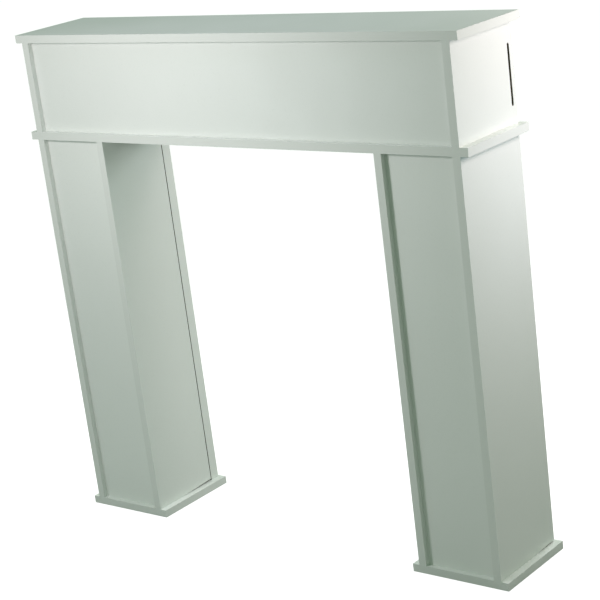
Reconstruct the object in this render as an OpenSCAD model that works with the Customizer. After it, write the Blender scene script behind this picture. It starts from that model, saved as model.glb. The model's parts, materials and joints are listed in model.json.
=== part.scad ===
// Free-standing fireplace surround: a knock-down mantel of painted 15 mm boards.
// Origin: centre of the footprint, on the floor. +Z is up and the front faces -Y.
// Each side of the surround is drawn as the left one (-X) and mirrored for the right one.

/* [Overall size] */
// Width of the top board and of the waist board
total_w = 1000; // [900:10:1200]
// Height of the whole surround
total_h = 965; // [900:5:1100]
// Depth of the top, waist and plinth boards
board_d = 186; // [186:1:260]
// Thickness of every board
board_t = 15; // [15:1:18]

/* [Header] */
// Clear height between the waist board and the top board
header_h = 171; // [170:1:220]
// How far the side boards stand in from the ends of the top and waist boards
end_inset = 16; // [12:1:20]
// How far the boxes stop short of the rear edge of the projecting boards
rear_inset = 6; // [2:1:8]
// How far the front panels are set back from the front edges of the side boards
panel_recess = 10; // [6:1:14]
// Height of the rail under the rear of the top board
rail_h = 30; // [28:1:34]

/* [Cable slot] */
// Width of the upright slot in the right header side
slot_w = 6; // [4.5:0.5:8]
// Height of the slot from end to end
slot_h = 105; // [60:5:105]
// Distance from the rear edge of the header side to the middle of the slot
slot_rear = 12; // [10:1:14]
// Height of the slot's lower end above the waist board
slot_rise = 30; // [25:1:34]

/* [Legs] */
// Width of each leg over its two side boards
leg_w = 171; // [150:1:200]
// How far each plinth projects past its leg on either side
plinth_overhang = 14; // [10:1:16]
// Depth of the post behind each inner side board
post_d = 21; // [18:1:24]
// Gap between each inner side board and the post behind it
post_gap = 3; // [1:0.5:4]
// How far each post's face stands back from the face of the inner side board
post_setback = 1; // [0:0.5:2]
// Rise of the inner side board's lower edge at its rear end
inner_relief = 4; // [0.5:0.5:5]
// Rise of the outer side board's lower edge at its rear end
outer_relief = 2.5; // [0.5:0.5:4]

/* [Knock-down fittings] */
// Diameter of a cam nut's bore
cam_bore_d = 15; // [14:0.5:16]
// Distance from a board's edge to the middle of its cam bore
cam_reach = 34; // [32:1:36]
// Diameter of a dowel
dowel_d = 8; // [6:1:8]
// Length of a dowel
dowel_l = 30; // [28:1:32]

/* [Hidden] */
$fn = 48;
RIGHTWARD = [1, 0, 0];
LEFTWARD = [-1, 0, 0];
BACKWARD = [0, 1, 0];
FORWARD = [0, -1, 0];
UP = [0, 0, 1];
DOWN = [0, 0, -1];
over = 0.5;    // how far a cutting solid runs past the face it opens

// Heights
leg_z = board_t;
waist_z = total_h - board_t - header_h - board_t;
header_z = waist_z + board_t;
top_z = total_h - board_t;
leg_h = waist_z - leg_z;

// Depths: the boxes are flush with the front of the projecting boards
front_y = -board_d / 2;
box_d = board_d - rear_inset;
box_rear_y = front_y + box_d;
panel_y = front_y + panel_recess;
panel_rear_y = panel_y + board_t;
panel_mid_y = panel_y + board_t / 2;
back_y = box_rear_y - board_t;
back_mid_y = back_y + board_t / 2;

// Widths, all on the left side
side_x = -total_w / 2 + end_inset;
side_in_x = side_x + board_t;
side_mid_x = side_x + board_t / 2;
inner_out_x = side_x + leg_w;
inner_in_x = inner_out_x - board_t;
inner_mid_x = inner_in_x + board_t / 2;
leg_mid_x = (side_in_x + inner_in_x) / 2;
post_y = box_rear_y - post_d;
post_mid_y = post_y + post_d / 2;
inner_rear_y = post_y - post_gap;
inner_relief_y = front_y + box_d * 0.35;    // the lower edges start to rise here
outer_relief_y = front_y + box_d * 0.6;

// Cam nut and cam bolt
cam_bore_depth = 12.5;
cam_d = cam_bore_d - 0.2;
cam_l = 12;
cam_sink = 0.3;          // the nut's face lies this far below the board's face
neck_d = 4;
neck_slot = 4.8;         // opening in the nut for the bolt's neck
head_pocket = 7.6;       // room in the nut for the bolt's head
head_d = 6.6;
head_l = 3.5;
head_front = cam_reach - 4;    // depth of the near face of the bolt's head
collar_d = 7.6;
collar_l = 3;
channel_d = 8;           // bore along the board for the bolt
thread_d = 5.8;
thread_l = 11;
thread_bore_d = 6;
thread_bore_l = 11.5;
driver_w = 1.4;          // width of a screwdriver recess
driver_depth = 2;

// Dowel: the short end sits in a board's face and the long end in a board's edge
dowel_fit = 0.1;
dowel_face_l = 10.5;
dowel_edge_l = dowel_l - dowel_face_l;
dowel_bore_spare = 0.5;
dowel_chamfer = 1;

// Screws
screw_d = 5;
screw_head_d = 10;
screw_head_h = 3;
screw_sink = 0.5;
screw_tip = 4;
screw_fit = 0.1;
screw_bore_spare = 2;
plinth_screw_l = 50;
post_screw_l = 50;
rail_screw_l = 34;
rail_screw_sink = 6;

// Where the fittings stand
header_bolt_y = [-board_d * 0.3, board_d * 0.3];
leg_bolt_y = [-board_d * 0.24, board_d * 0.19];
leg_dowel_y = -board_d * 0.03;
upright_z = [leg_z + 100, leg_z + leg_h / 2, waist_z - 100];
post_dowel_z = [leg_z + leg_h * 0.28, leg_z + leg_h * 0.72];
panel_end_z = [header_z + 45, top_z - 45];
header_dowel_x = [-total_w * 0.36, -total_w * 0.12];
header_dowel_y = board_d * 0.08;         // between the leg's dowel and bolt below it
rail_screw_x = [-total_w * 0.4, -total_w * 0.15];
rail_mid_z = top_z - rail_h / 2;

// A joint is [point on the joint plane, way the cam's face looks, way into the other board].
header_cams = concat(
    [for (y = header_bolt_y) [[side_mid_x, y, top_z], RIGHTWARD, UP]],
    [for (y = header_bolt_y) [[side_mid_x, y, header_z], RIGHTWARD, DOWN]]
);
header_panel_cams = [for (z = panel_end_z) [[side_in_x, panel_mid_y, z], BACKWARD, LEFTWARD]];
header_side_dowels = [
    [[side_mid_x, header_dowel_y, top_z], RIGHTWARD, UP],
    [[side_mid_x, header_dowel_y, header_z], RIGHTWARD, DOWN]
];
header_panel_dowels = concat(
    [for (x = header_dowel_x) [[x, panel_mid_y, top_z], BACKWARD, UP]],
    [for (x = header_dowel_x) [[x, panel_mid_y, header_z], BACKWARD, DOWN]]
);
rail_dowels = [[[side_in_x, back_mid_y, rail_mid_z], BACKWARD, LEFTWARD]];
outer_cams = [for (y = leg_bolt_y) [[side_mid_x, y, waist_z], RIGHTWARD, UP]];
inner_cams = [for (y = leg_bolt_y) [[inner_mid_x, y, waist_z], LEFTWARD, UP]];
leg_panel_outer_cams = [for (z = upright_z) [[side_in_x, panel_mid_y, z], BACKWARD, LEFTWARD]];
leg_panel_inner_cams = [for (z = upright_z) [[inner_in_x, panel_mid_y, z], BACKWARD, RIGHTWARD]];
leg_back_cams = [for (z = upright_z) [[side_in_x, back_mid_y, z], BACKWARD, LEFTWARD]];
outer_dowels = [
    [[side_mid_x, leg_dowel_y, waist_z], RIGHTWARD, UP],
    [[side_mid_x, leg_dowel_y, leg_z], RIGHTWARD, DOWN]
];
inner_dowels = [
    [[inner_mid_x, leg_dowel_y, waist_z], RIGHTWARD, UP],
    [[inner_mid_x, leg_dowel_y, leg_z], RIGHTWARD, DOWN]
];
leg_panel_dowels = [
    [[leg_mid_x, panel_mid_y, waist_z], BACKWARD, UP],
    [[leg_mid_x, panel_mid_y, leg_z], BACKWARD, DOWN]
];
leg_back_dowels = [
    [[leg_mid_x, back_mid_y, waist_z], BACKWARD, UP],
    [[leg_mid_x, back_mid_y, leg_z], BACKWARD, DOWN]
];
post_end_dowels = [
    [[inner_mid_x, post_mid_y, waist_z], BACKWARD, UP],
    [[inner_mid_x, post_mid_y, leg_z], BACKWARD, DOWN]
];
post_side_dowels = [for (z = post_dowel_z) [[inner_in_x, back_mid_y, z], BACKWARD, RIGHTWARD]];
leg_cams = concat(
    outer_cams, inner_cams, leg_panel_outer_cams, leg_panel_inner_cams, leg_back_cams
);
leg_end_dowels = concat(
    outer_dowels, inner_dowels, leg_panel_dowels, leg_back_dowels, post_end_dowels
);
plinth_screw_places = [
    for (x = [side_mid_x, inner_mid_x], y = leg_bolt_y) [[x, y, 0], RIGHTWARD, UP]
];
post_screw_places = [for (z = upright_z) [[inner_mid_x, box_rear_y, z], RIGHTWARD, FORWARD]];
rail_screw_places = [for (x = rail_screw_x) [[x, back_mid_y, top_z - rail_h], RIGHTWARD, UP]];

paint = [0.87, 0.89, 0.87];
zinc = [0.72, 0.72, 0.74];
beech = [0.80, 0.66, 0.46];

// ---- Placing ----

// Draws the children as they are for the left side, or mirrored for the right side.
module on_side(side) {
    if (side == "left") children();
    else mirror([1, 0, 0]) children();
}

module on_both_sides() {
    for (side = ["left", "right"]) on_side(side) children();
}

// Puts the children at each joint: local X is the way the cam looks, local Z the way into
// the other board, and the joint plane is at z = 0.
module at_each(joints) {
    for (joint = joints) {
        origin = joint[0];
        face = joint[1];
        into = joint[2];
        across = cross(into, face);
        multmatrix([
            [face.x, across.x, into.x, origin.x],
            [face.y, across.y, into.y, origin.y],
            [face.z, across.z, into.z, origin.z],
            [0, 0, 0, 1]
        ]) children();
    }
}

module block(low, high) {
    translate(low) cube(high - low);
}

// ---- Fittings and the bores they sit in ----

module cam_bore() {
    translate([board_t / 2 - cam_bore_depth, 0, -cam_reach])
        rotate([0, 90, 0]) cylinder(d = cam_bore_d, h = cam_bore_depth + over);
    translate([0, 0, -cam_reach]) cylinder(d = channel_d, h = cam_reach + over);
}

module thread_bore() {
    translate([0, 0, -over]) cylinder(d = thread_bore_d, h = thread_bore_l + over);
}

module cam_nut() {
    face_x = board_t / 2 - cam_sink;
    difference() {
        translate([face_x - cam_l, 0, -cam_reach])
            rotate([0, 90, 0]) cylinder(d = cam_d, h = cam_l);
        translate([-neck_slot / 2, -neck_slot / 2, -cam_reach])
            cube([neck_slot, neck_slot, cam_d]);
        translate([0, 0, -head_front - head_l / 2])
            cube([head_pocket, head_pocket, head_l + 1], center = true);
        for (turn = [0, 90])
            translate([face_x, 0, -cam_reach]) rotate([turn, 0, 0])
                cube([driver_depth * 2, driver_w, cam_d * 0.6], center = true);
    }
}

module cam_bolt() {
    cylinder(d = thread_d, h = thread_l);
    translate([0, 0, -collar_l]) cylinder(d = collar_d, h = collar_l);
    translate([0, 0, -head_front]) cylinder(d = neck_d, h = head_front - collar_l);
    translate([0, 0, -head_front - head_l]) cylinder(d = head_d, h = head_l);
}

module dowel() {
    d = dowel_d - dowel_fit;
    tip_d = d - 2 * dowel_chamfer;
    translate([0, 0, -dowel_edge_l]) cylinder(d1 = tip_d, d2 = d, h = dowel_chamfer);
    translate([0, 0, -dowel_edge_l + dowel_chamfer])
        cylinder(d = d, h = dowel_l - 2 * dowel_chamfer);
    translate([0, 0, dowel_face_l - dowel_chamfer])
        cylinder(d1 = d, d2 = tip_d, h = dowel_chamfer);
}

module dowel_bore() {
    translate([0, 0, -dowel_edge_l - dowel_bore_spare])
        cylinder(d = dowel_d, h = dowel_l + 2 * dowel_bore_spare);
}

// A countersunk screw that starts at the joint plane and runs along +Z.
module screw(length, sink) {
    difference() {
        union() {
            translate([0, 0, sink]) cylinder(d1 = screw_head_d, d2 = screw_d, h = screw_head_h);
            translate([0, 0, sink + screw_head_h])
                cylinder(d = screw_d, h = length - screw_head_h - screw_tip);
            translate([0, 0, sink + length - screw_tip])
                cylinder(d1 = screw_d, d2 = 1, h = screw_tip);
        }
        for (turn = [0, 90])
            translate([0, 0, sink]) rotate([0, 0, turn])
                cube([screw_head_d * 0.55, driver_w, driver_depth * 2], center = true);
    }
}

module screw_bore(length, sink) {
    head_bore_d = screw_head_d + 2 * screw_fit;
    bore_d = screw_d + 2 * screw_fit;
    translate([0, 0, -over]) cylinder(d = head_bore_d, h = sink + over);
    translate([0, 0, sink]) cylinder(d1 = head_bore_d, d2 = bore_d, h = screw_head_h);
    translate([0, 0, sink + screw_head_h / 2])
        cylinder(d = bore_d, h = length - screw_head_h / 2 + screw_bore_spare);
}

// ---- Header ----

module top_board() {
    color(paint) difference() {
        block([-total_w / 2, front_y, top_z], [total_w / 2, -front_y, total_h]);
        on_both_sides() {
            at_each(header_cams) thread_bore();
            at_each(concat(header_side_dowels, header_panel_dowels)) dowel_bore();
            at_each(rail_screw_places) screw_bore(rail_screw_l, rail_screw_sink);
        }
    }
}

module waist_board() {
    color(paint) difference() {
        block([-total_w / 2, front_y, waist_z], [total_w / 2, -front_y, header_z]);
        on_both_sides() {
            at_each(concat(header_cams, outer_cams, inner_cams)) thread_bore();
            at_each(concat(header_side_dowels, header_panel_dowels, leg_end_dowels))
                dowel_bore();
        }
    }
}

module header_front_panel() {
    color(paint) difference() {
        block([side_in_x, panel_y, header_z], [-side_in_x, panel_rear_y, top_z]);
        on_both_sides() {
            at_each(header_panel_cams) cam_bore();
            at_each(header_panel_dowels) dowel_bore();
        }
    }
}

module header_side(side) {
    color(paint) on_side(side) difference() {
        block([side_x, front_y, header_z], [side_in_x, box_rear_y, top_z]);
        at_each(header_cams) cam_bore();
        at_each(header_panel_cams) thread_bore();
        at_each(concat(header_side_dowels, rail_dowels)) dowel_bore();
    }
}

// An upright slot with round ends, right through the right header side.
module cable_slot() {
    slot_low = header_z + slot_rise + slot_w / 2;
    slot_high = header_z + slot_rise + slot_h - slot_w / 2;
    slot_y = box_rear_y - slot_rear;
    for (z = [slot_low, slot_high])
        translate([-side_x + over, slot_y, z])
            rotate([0, -90, 0]) cylinder(d = slot_w, h = board_t + 2 * over);
    block(
        [-side_in_x - over, slot_y - slot_w / 2, slot_low],
        [-side_x + over, slot_y + slot_w / 2, slot_high]
    );
}

module header_side_left() {
    header_side("left");
}

module header_side_right() {
    color(paint) difference() {
        header_side("right");
        cable_slot();
    }
}

module header_back_rail() {
    color(paint) difference() {
        block([side_in_x, back_y, top_z - rail_h], [-side_in_x, box_rear_y, top_z]);
        on_both_sides() {
            at_each(rail_dowels) dowel_bore();
            at_each(rail_screw_places) screw_bore(rail_screw_l, rail_screw_sink);
        }
    }
}

// ---- Legs ----

// A leg's side board. Its lower edge rises from relief_y to the rear end.
module upright_board(x, rear_y, relief_y, relief) {
    translate([x, 0, 0]) rotate([90, 0, 90]) linear_extrude(height = board_t)
        polygon([
            [front_y, leg_z], [relief_y, leg_z], [rear_y, leg_z + relief],
            [rear_y, waist_z], [front_y, waist_z]
        ]);
}

module leg_outer_side(side) {
    color(paint) on_side(side) difference() {
        upright_board(side_x, box_rear_y, outer_relief_y, outer_relief);
        at_each(outer_cams) cam_bore();
        at_each(concat(leg_panel_outer_cams, leg_back_cams)) thread_bore();
        at_each(outer_dowels) dowel_bore();
        at_each(plinth_screw_places) screw_bore(plinth_screw_l, screw_sink);
    }
}

module leg_inner_side(side) {
    color(paint) on_side(side) difference() {
        upright_board(inner_in_x, inner_rear_y, inner_relief_y, inner_relief);
        at_each(inner_cams) cam_bore();
        at_each(leg_panel_inner_cams) thread_bore();
        at_each(inner_dowels) dowel_bore();
        at_each(plinth_screw_places) screw_bore(plinth_screw_l, screw_sink);
        at_each(post_screw_places) screw_bore(post_screw_l, screw_sink);
    }
}

module leg_front_panel(side) {
    color(paint) on_side(side) difference() {
        block([side_in_x, panel_y, leg_z], [inner_in_x, panel_rear_y, waist_z]);
        at_each(concat(leg_panel_outer_cams, leg_panel_inner_cams)) cam_bore();
        at_each(leg_panel_dowels) dowel_bore();
    }
}

module leg_back_board(side) {
    color(paint) on_side(side) difference() {
        block([side_in_x, back_y, leg_z], [inner_in_x, box_rear_y, waist_z]);
        at_each(leg_back_cams) cam_bore();
        at_each(concat(leg_back_dowels, post_side_dowels)) dowel_bore();
    }
}

// The upright post that closes the leg's inner rear corner, behind the inner side board.
module leg_rear_post(side) {
    color(paint) on_side(side) difference() {
        block([inner_in_x, post_y, leg_z], [inner_out_x - post_setback, box_rear_y, waist_z]);
        at_each(concat(post_end_dowels, post_side_dowels)) dowel_bore();
        at_each(post_screw_places) screw_bore(post_screw_l, screw_sink);
    }
}

module plinth(side) {
    color(paint) on_side(side) difference() {
        block(
            [side_x - plinth_overhang, front_y, 0],
            [inner_out_x + plinth_overhang, -front_y, leg_z]
        );
        at_each(leg_end_dowels) dowel_bore();
        at_each(plinth_screw_places) screw_bore(plinth_screw_l, screw_sink);
    }
}

// ---- Groups of identical fittings ----

module header_cam_nuts() {
    color(zinc) on_both_sides() at_each(concat(header_cams, header_panel_cams)) cam_nut();
}

module header_cam_bolts() {
    color(zinc) on_both_sides() at_each(concat(header_cams, header_panel_cams)) cam_bolt();
}

module header_dowels() {
    color(beech) on_both_sides()
        at_each(concat(header_side_dowels, header_panel_dowels, rail_dowels)) dowel();
}

module back_rail_screws() {
    color(zinc) on_both_sides()
        at_each(rail_screw_places) screw(rail_screw_l, rail_screw_sink);
}

module leg_cam_nuts(side) {
    color(zinc) on_side(side) at_each(leg_cams) cam_nut();
}

module leg_cam_bolts(side) {
    color(zinc) on_side(side) at_each(leg_cams) cam_bolt();
}

module leg_dowel_set(side) {
    color(beech) on_side(side)
        at_each(concat(leg_end_dowels, post_side_dowels)) dowel();
}

module plinth_screws(side) {
    color(zinc) on_side(side) at_each(plinth_screw_places) screw(plinth_screw_l, screw_sink);
}

module post_screws(side) {
    color(zinc) on_side(side) at_each(post_screw_places) screw(post_screw_l, screw_sink);
}

// ---- Nodes ----

top_board();
waist_board();
header_front_panel();
header_side_left();
header_side_right();
header_back_rail();
leg_outer_side("left");  // leg_outer_side_left
leg_outer_side("right");  // leg_outer_side_right
leg_inner_side("left");  // leg_inner_side_left
leg_inner_side("right");  // leg_inner_side_right
leg_front_panel("left");  // leg_front_panel_left
leg_front_panel("right");  // leg_front_panel_right
leg_back_board("left");  // leg_back_board_left
leg_back_board("right");  // leg_back_board_right
leg_rear_post("left");  // leg_rear_post_left
leg_rear_post("right");  // leg_rear_post_right
plinth("left");  // plinth_left
plinth("right");  // plinth_right
header_cam_nuts();
header_cam_bolts();
header_dowels();
back_rail_screws();
leg_cam_nuts("left");  // leg_cam_nuts_left
leg_cam_nuts("right");  // leg_cam_nuts_right
leg_cam_bolts("left");  // leg_cam_bolts_left
leg_cam_bolts("right");  // leg_cam_bolts_right
leg_dowel_set("left");  // leg_dowels_left
leg_dowel_set("right");  // leg_dowels_right
plinth_screws("left");  // plinth_screws_left
plinth_screws("right");  // plinth_screws_right
post_screws("left");  // post_screws_left
post_screws("right");  // post_screws_right
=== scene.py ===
import json
import math

import bpy
from mathutils import Matrix, Vector


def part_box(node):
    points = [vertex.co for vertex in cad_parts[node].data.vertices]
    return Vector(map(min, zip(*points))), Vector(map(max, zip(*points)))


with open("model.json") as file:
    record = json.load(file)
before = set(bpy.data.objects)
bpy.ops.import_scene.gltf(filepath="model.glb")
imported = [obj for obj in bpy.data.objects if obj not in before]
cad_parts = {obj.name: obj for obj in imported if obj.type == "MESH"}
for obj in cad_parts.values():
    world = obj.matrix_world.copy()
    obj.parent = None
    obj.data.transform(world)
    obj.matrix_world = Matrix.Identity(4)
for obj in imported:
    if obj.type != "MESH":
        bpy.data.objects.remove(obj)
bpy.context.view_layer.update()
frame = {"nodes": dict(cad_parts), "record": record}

MM = 0.001

# ---- Colours (linear) ----
PAINT = (0.800, 0.826, 0.792)
PAINT_EDGE = (0.735, 0.760, 0.725)
RAW_BOARD = (0.150, 0.108, 0.066)
RAW_BOARD_DARK = (0.072, 0.050, 0.030)
ZINC = (0.56, 0.57, 0.59)
ZINC_DULL = (0.36, 0.36, 0.37)
STEEL = (0.62, 0.61, 0.57)
STEEL_DULL = (0.38, 0.37, 0.34)
BEECH = (0.56, 0.37, 0.20)
BEECH_GRAIN = (0.40, 0.24, 0.12)
FLOOR = (0.40, 0.40, 0.40)
FLOOR_GLOW = 0.92
FILL = (0.218, 0.308, 0.224)

# ---- Sizes ----
ARRIS = 0.7 * MM           # rounding of a painted board's edges
ARRIS_SEGMENTS = 3
ARRIS_ANGLE = 50           # degrees; blunter edges stay as they are
WELD_REACH = 0.002 * MM
FLOOR_HALF = 30.0          # metres
FLOOR_GAP = 0.2 * MM       # keeps the floor clear of the plinths' undersides

# ---- Paint ----
PAINT_IOR = 1.48
PAINT_ROUGHNESS = (0.33, 0.43)
EDGE_ROUGHNESS = 0.10      # added on cut edges
RAW_ROUGHNESS = 0.92
COAT_WEIGHT = 0.10
COAT_ROUGHNESS = 0.28
CLOUD_SHADE = 0.975        # the darker clouds, as a share of the paint's colour
PEEL_HEIGHT = 0.035 * MM
FIBRE_HEIGHT = 0.09 * MM
BARE_DEPTH = (0.35 * MM, 0.75 * MM)    # how far in from a board's box bare walls begin

# The faces on either side of the gap by the rear posts are left bare, and their dark bare
# fibreboard also stands in for the shade in that gap, a painted shade: (axis, way it looks).
GAP_SHADE_BARE_FACES = {"leg_rear_post": (1, -1), "leg_inner_side": (1, 1)}

# ---- Camera ----
CAMERA_PLACE = (2.0405, -2.3842, 1.3826)
CAMERA_AZIMUTH = 40.201    # degrees
CAMERA_ELEVATION = 17.912
CAMERA_ROLL = -7.378
CAMERA_LENS = 106.2        # millimetres
SENSOR_WIDTH = 36.0
CAMERA_RISE = 0.07         # vertical shift, as a share of the frame


# ---------------------------------------------------------------- nodes

class Graph:
    """A material's node tree, with one short call for each kind of node."""

    def __init__(self, name):
        self.material = bpy.data.materials.new(name)
        self.material.use_nodes = True
        self.tree = self.material.node_tree
        self.tree.nodes.clear()
        self.coords = self.node("ShaderNodeTexCoord")
        self.shader = self.node("ShaderNodeBsdfPrincipled")
        output = self.node("ShaderNodeOutputMaterial")
        self.link(self.shader.outputs["BSDF"], output.inputs["Surface"])

    def node(self, kind):
        return self.tree.nodes.new(kind)

    def link(self, source, target):
        self.tree.links.new(source, target)

    def feed(self, value, target):
        """Links an output, or writes a constant."""
        if isinstance(value, bpy.types.NodeSocket):
            self.link(value, target)
        else:
            target.default_value = value

    def math(self, operation, a, b=0.0, clamp=False):
        node = self.node("ShaderNodeMath")
        node.operation = operation
        node.use_clamp = clamp
        self.feed(a, node.inputs[0])
        self.feed(b, node.inputs[1])
        return node.outputs[0]

    def ramp(self, value, low, high, to_low=0.0, to_high=1.0):
        node = self.node("ShaderNodeMapRange")
        node.interpolation_type = "SMOOTHSTEP"
        self.feed(value, node.inputs["Value"])
        node.inputs["From Min"].default_value = low
        node.inputs["From Max"].default_value = high
        node.inputs["To Min"].default_value = to_low
        node.inputs["To Max"].default_value = to_high
        return node.outputs["Result"]

    def noise(self, scale, detail=3.0, stretch=(1, 1, 1), roughness=0.5):
        mapping = self.node("ShaderNodeMapping")
        mapping.inputs["Scale"].default_value = stretch
        self.link(self.coords.outputs["Object"], mapping.inputs["Vector"])
        node = self.node("ShaderNodeTexNoise")
        node.inputs["Scale"].default_value = scale
        node.inputs["Detail"].default_value = detail
        node.inputs["Roughness"].default_value = roughness
        self.link(mapping.outputs["Vector"], node.inputs["Vector"])
        return node.outputs["Fac"]

    def mix(self, factor, first, second, blend="MIX"):
        node = self.node("ShaderNodeMix")
        node.data_type = "RGBA"
        node.blend_type = blend
        self.feed(factor, node.inputs["Factor"])
        for colour, socket in ((first, node.inputs["A"]), (second, node.inputs["B"])):
            if isinstance(colour, tuple):
                socket.default_value = colour + (1.0,)
            else:
                self.link(colour, socket)
        return node.outputs["Result"]

    def position(self):
        node = self.node("ShaderNodeSeparateXYZ")
        self.link(self.coords.outputs["Object"], node.inputs["Vector"])
        return node.outputs

    def normal(self, axis):
        """The surface normal's share along one axis, from -1 to 1."""
        node = self.node("ShaderNodeSeparateXYZ")
        self.link(self.coords.outputs["Normal"], node.inputs["Vector"])
        return node.outputs[axis]

    def bump(self, height, distance, below=None):
        node = self.node("ShaderNodeBump")
        node.inputs["Strength"].default_value = 1.0
        node.inputs["Distance"].default_value = distance
        self.link(height, node.inputs["Height"])
        if below is not None:
            self.link(below, node.inputs["Normal"])
        return node.outputs["Normal"]


# ---------------------------------------------------------------- materials

def bare_walls_and_gap_shade_mask(graph, low, high, gap_shade_bare_face):
    """1 on unpainted surfaces: the walls of bores and slots, and a board's bare face, whose
    dark tone is also a painted shade for the gap by the rear posts.
    """
    position = graph.position()
    depth = None
    for axis in range(3):
        from_low = graph.math("SUBTRACT", position[axis], low[axis])
        from_high = graph.math("SUBTRACT", high[axis], position[axis])
        nearest = graph.math("MINIMUM", from_low, from_high)
        depth = nearest if depth is None else graph.math("MINIMUM", depth, nearest)
    bore_walls = graph.ramp(depth, *BARE_DEPTH)
    if gap_shade_bare_face is None:
        return bore_walls
    # The bare face's dark fibreboard tone is a painted shade for the gap by the rear posts.
    axis, sign = gap_shade_bare_face
    facing = graph.math("MULTIPLY", graph.normal(axis), sign)
    return graph.math("MAXIMUM", bore_walls, graph.ramp(facing, 0.5, 0.9))


def painted_board(name, thin_axis, low, high, gap_shade_bare_face):
    """Satin lacquer on fibreboard. The cut edges drink more paint, bores are unpainted, and the
    bare faces by the rear posts' gap are also a painted shade for that gap.
    """
    graph = Graph(name)
    shader = graph.shader
    unpainted_and_gap_shade = bare_walls_and_gap_shade_mask(graph, low, high, gap_shade_bare_face)
    face_on = graph.math("ABSOLUTE", graph.normal(thin_axis))
    edge = graph.math("SUBTRACT", 1.0, graph.ramp(face_on, 0.35, 0.8))

    clouds = graph.noise(3.1, 4.0)
    speckle = graph.noise(260.0, 2.0)
    fibre_stretch = [0.16, 0.16, 0.16]
    fibre_stretch[thin_axis] = 1.0
    fibres = graph.noise(900.0, 3.0, tuple(fibre_stretch), 0.65)

    tone = graph.mix(graph.ramp(clouds, 0.3, 0.7), PAINT, tuple(c * CLOUD_SHADE for c in PAINT))
    tone = graph.mix(graph.ramp(speckle, 0.55, 0.8, 0.0, 0.35), tone, PAINT_EDGE)
    tone = graph.mix(edge, tone, PAINT_EDGE)
    mottle = graph.noise(700.0, 4.0, (1, 1, 1), 0.7)
    raw_tone = graph.mix(graph.ramp(mottle, 0.3, 0.7), RAW_BOARD_DARK, RAW_BOARD)
    # Bare fibreboard in bores and slots; on the faces by the rear posts' gap this dark tone is
    # painted shade.
    graph.link(graph.mix(unpainted_and_gap_shade, tone, raw_tone), shader.inputs["Base Color"])

    sheen_spread = graph.ramp(graph.noise(11.0, 5.0), 0.3, 0.7, *PAINT_ROUGHNESS)
    edge_spread = graph.math("MULTIPLY", edge, EDGE_ROUGHNESS)
    painted_roughness = graph.math("ADD", sheen_spread, edge_spread)
    raw_roughness = graph.math("MULTIPLY", unpainted_and_gap_shade, RAW_ROUGHNESS)
    roughness = graph.math("MAXIMUM", painted_roughness, raw_roughness)
    graph.link(roughness, shader.inputs["Roughness"])

    peel = graph.noise(420.0, 2.0)
    smooth = graph.bump(peel, PEEL_HEIGHT)
    fuzzy = graph.math("MULTIPLY", fibres, graph.math("MAXIMUM", edge, unpainted_and_gap_shade))
    graph.link(graph.bump(fuzzy, FIBRE_HEIGHT, smooth), shader.inputs["Normal"])
    shader.inputs["IOR"].default_value = PAINT_IOR
    shader.inputs["Coat Weight"].default_value = COAT_WEIGHT
    shader.inputs["Coat Roughness"].default_value = COAT_ROUGHNESS
    return graph.material


def cast_metal(name, bright, dull, grain_scale, metal_roughness):
    """Zinc fittings: a fine cast or plated grain with dull patches."""
    graph = Graph(name)
    shader = graph.shader
    patches = graph.noise(260.0, 4.0)
    grain = graph.noise(grain_scale, 3.0)
    tone = graph.mix(graph.ramp(patches, 0.35, 0.7), bright, dull)
    graph.link(tone, shader.inputs["Base Color"])
    graph.link(
        graph.ramp(patches, 0.3, 0.7, metal_roughness, metal_roughness + 0.2),
        shader.inputs["Roughness"],
    )
    graph.link(graph.bump(grain, 0.02 * MM), shader.inputs["Normal"])
    shader.inputs["Metallic"].default_value = 1.0
    return graph.material


def beech_wood(name):
    """Bare beech with short grain flecks."""
    graph = Graph(name)
    shader = graph.shader
    grain = graph.noise(420.0, 4.0, (1, 1, 0.12), 0.6)
    flecks = graph.noise(1500.0, 2.0, (1, 1, 0.3))
    tone = graph.mix(graph.ramp(grain, 0.35, 0.65), BEECH, BEECH_GRAIN)
    tone = graph.mix(graph.ramp(flecks, 0.6, 0.75, 0.0, 0.5), tone, BEECH_GRAIN)
    graph.link(tone, shader.inputs["Base Color"])
    graph.link(graph.ramp(grain, 0.3, 0.7, 0.62, 0.78), shader.inputs["Roughness"])
    graph.link(graph.bump(grain, 0.08 * MM), shader.inputs["Normal"])
    return graph.material


# ---------------------------------------------------------------- CAD nodes

def round_edges(piece):
    """Joins the split faces of a CAD node and rounds its arrises."""
    weld = piece.modifiers.new("weld", "WELD")
    weld.merge_threshold = WELD_REACH
    bevel = piece.modifiers.new("arris", "BEVEL")
    bevel.width = ARRIS
    bevel.segments = ARRIS_SEGMENTS
    bevel.limit_method = "ANGLE"
    bevel.angle_limit = math.radians(ARRIS_ANGLE)
    bevel.harden_normals = True
    bevel.use_clamp_overlap = True


def assign(piece, material):
    piece.data.materials.clear()
    piece.data.materials.append(material)


def finish_boards():
    """Every board keeps its CAD shape. The thin axis is the one that it is thinnest along."""
    for name in board_names():
        low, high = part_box(name)
        spans = list(high - low)
        thin_axis = spans.index(min(spans))
        piece = frame["nodes"][name]
        stem = name.removesuffix("_left").removesuffix("_right")
        # Faces by the rear posts' gap get dark bare fibreboard, which is a painted shade for
        # the gap.
        gap_shade_bare_face = GAP_SHADE_BARE_FACES.get(stem)
        assign(piece, painted_board("paint_" + name, thin_axis, low, high, gap_shade_bare_face))
        round_edges(piece)


def slot_nodes(slot):
    return [s["node"] for s in frame["record"]["subparts"] if s["material_slot"] == slot]


def board_names():
    return slot_nodes("painted_board")


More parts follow.
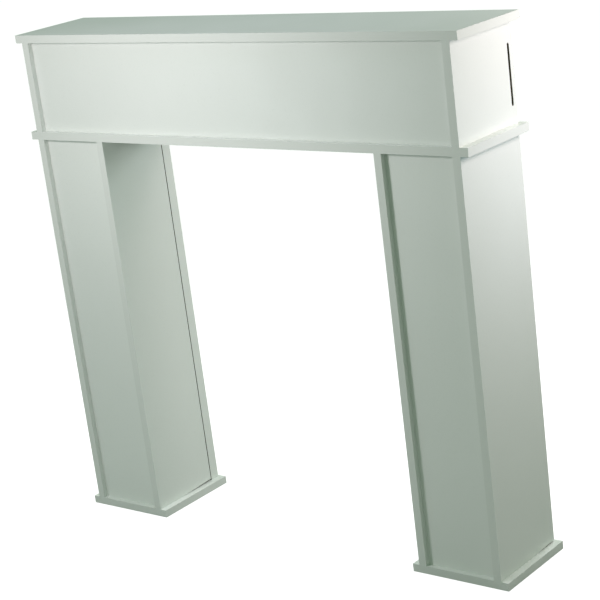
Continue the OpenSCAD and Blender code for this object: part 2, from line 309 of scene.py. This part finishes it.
def finish_fittings():
    finishes = {
        "zinc_fitting": cast_metal("cast_zinc", ZINC, ZINC_DULL, 1800.0, 0.34),
        "steel_screw": cast_metal("plated_steel", STEEL, STEEL_DULL, 2600.0, 0.24),
        "beech_dowel": beech_wood("beech"),
    }
    for slot, material in finishes.items():
        for name in slot_nodes(slot):
            assign(frame["nodes"][name], material)


# ---------------------------------------------------------------- stage

def make_floor():
    """A plain floor. Only the camera sees its glow, so it looks white and lights nothing."""
    half = FLOOR_HALF
    z = -FLOOR_GAP
    mesh = bpy.data.meshes.new("floor")
    corners = [(-half, -half, z), (half, -half, z), (half, half, z), (-half, half, z)]
    mesh.from_pydata(corners, [], [(0, 1, 2, 3)])
    floor = bpy.data.objects.new("floor", mesh)
    bpy.context.scene.collection.objects.link(floor)
    graph = Graph("pale_floor")
    graph.shader.inputs["Base Color"].default_value = FLOOR + (1.0,)
    graph.shader.inputs["Roughness"].default_value = 0.7
    graph.shader.inputs["Emission Color"].default_value = (1, 1, 1, 1)
    path = graph.node("ShaderNodeLightPath")
    glow = graph.math("MULTIPLY", path.outputs["Is Camera Ray"], FLOOR_GLOW)
    graph.link(glow, graph.shader.inputs["Emission Strength"])
    mesh.materials.append(graph.material)


def area_light(name, place, aim, side, watts, mirrored):
    """A square soft box. Watts are given for red, green and blue apart.

    A box that isn't mirrored lights glossy surfaces without a highlight. The boxes that
    are brightest for their size aren't, so the top board doesn't burn out in low views.
    """
    power = max(watts)
    data = bpy.data.lights.new(name, "AREA")
    data.size = side
    data.energy = power
    data.color = [w / power for w in watts]
    light = bpy.data.objects.new(name, data)
    light.location = place
    light.rotation_mode = "QUATERNION"
    light.rotation_quaternion = (Vector(aim) - Vector(place)).to_track_quat("-Z", "Y")
    light.visible_camera = False
    light.visible_glossy = mirrored
    bpy.context.scene.collection.objects.link(light)


def make_lights():
    # name, place, aim, side, watts for red, green and blue
    small_bright = (
        ("key", (-0.35, -0.95, 1.25), (0, 0, 0.7), 0.18, (4.27, 3.88, 4.11)),
        ("near_key", (-0.1, -0.7, 1.0), (0, 0, 0.75), 0.18, (1.21, 1.19, 1.21)),
        ("right", (1.0, 0.3, 1.05), (0.45, 0, 0.75), 0.30, (4.43, 3.83, 3.92)),
        ("rear", (0.3, 1.5, 1.2), (0, 0, 0.6), 0.50, (17.5, 18.3, 18.4)),
    )
    soft = (
        ("low_left", (-0.9, -1.4, 0.5), (0.2, 0, 0.5), 0.50, (1.76, 1.96, 2.05)),
        ("low_right", (0.85, 0.15, 0.75), (0.45, 0, 0.75), 0.20, (0.29, 0.35, 0.42)),
        ("left", (-1.6, 0.25, 0.7), (-0.4, 0, 0.5), 0.80, (7.0, 7.3, 7.0)),
        ("top", (0, -0.2, 1.9), (0, 0, 0.9), 0.50, (1.79, 1.57, 2.28)),
    )
    for light in small_bright:
        area_light(*light, mirrored=False)
    for light in soft:
        area_light(*light, mirrored=True)
    make_world()


def make_world():
    """White where the camera looks past the floor, and a dim green-grey fill elsewhere."""
    world = bpy.data.worlds.new("studio")
    world.use_nodes = True
    tree = world.node_tree
    tree.nodes.clear()
    backdrop = tree.nodes.new("ShaderNodeBackground")
    backdrop.inputs["Color"].default_value = (1, 1, 1, 1)
    fill = tree.nodes.new("ShaderNodeBackground")
    fill.inputs["Color"].default_value = FILL + (1,)
    path = tree.nodes.new("ShaderNodeLightPath")
    mixer = tree.nodes.new("ShaderNodeMixShader")
    output = tree.nodes.new("ShaderNodeOutputWorld")
    tree.links.new(path.outputs["Is Camera Ray"], mixer.inputs["Fac"])
    tree.links.new(fill.outputs["Background"], mixer.inputs[1])
    tree.links.new(backdrop.outputs["Background"], mixer.inputs[2])
    tree.links.new(mixer.outputs["Shader"], output.inputs["Surface"])
    bpy.context.scene.world = world


def make_camera():
    azimuth, elevation, roll = (
        math.radians(a) for a in (CAMERA_AZIMUTH, CAMERA_ELEVATION, CAMERA_ROLL)
    )
    back = Vector((
        math.sin(azimuth) * math.cos(elevation),
        -math.cos(azimuth) * math.cos(elevation),
        math.sin(elevation),
    ))
    level = (-back).cross(Vector((0, 0, 1))).normalized()
    upward = level.cross(-back)
    right = math.cos(roll) * level + math.sin(roll) * upward
    up = math.cos(roll) * upward - math.sin(roll) * level
    data = bpy.data.cameras.new("camera")
    data.lens = CAMERA_LENS
    data.sensor_width = SENSOR_WIDTH
    data.shift_y = CAMERA_RISE
    camera = bpy.data.objects.new("camera", data)
    camera.matrix_world = (
        Matrix.Translation(CAMERA_PLACE) @ Matrix((right, up, back)).transposed().to_4x4()
    )
    bpy.context.scene.collection.objects.link(camera)
    bpy.context.scene.camera = camera


make_camera()
finish_boards()
finish_fittings()
make_floor()
make_lights()
bpy.context.scene.view_settings.view_transform = "Standard"
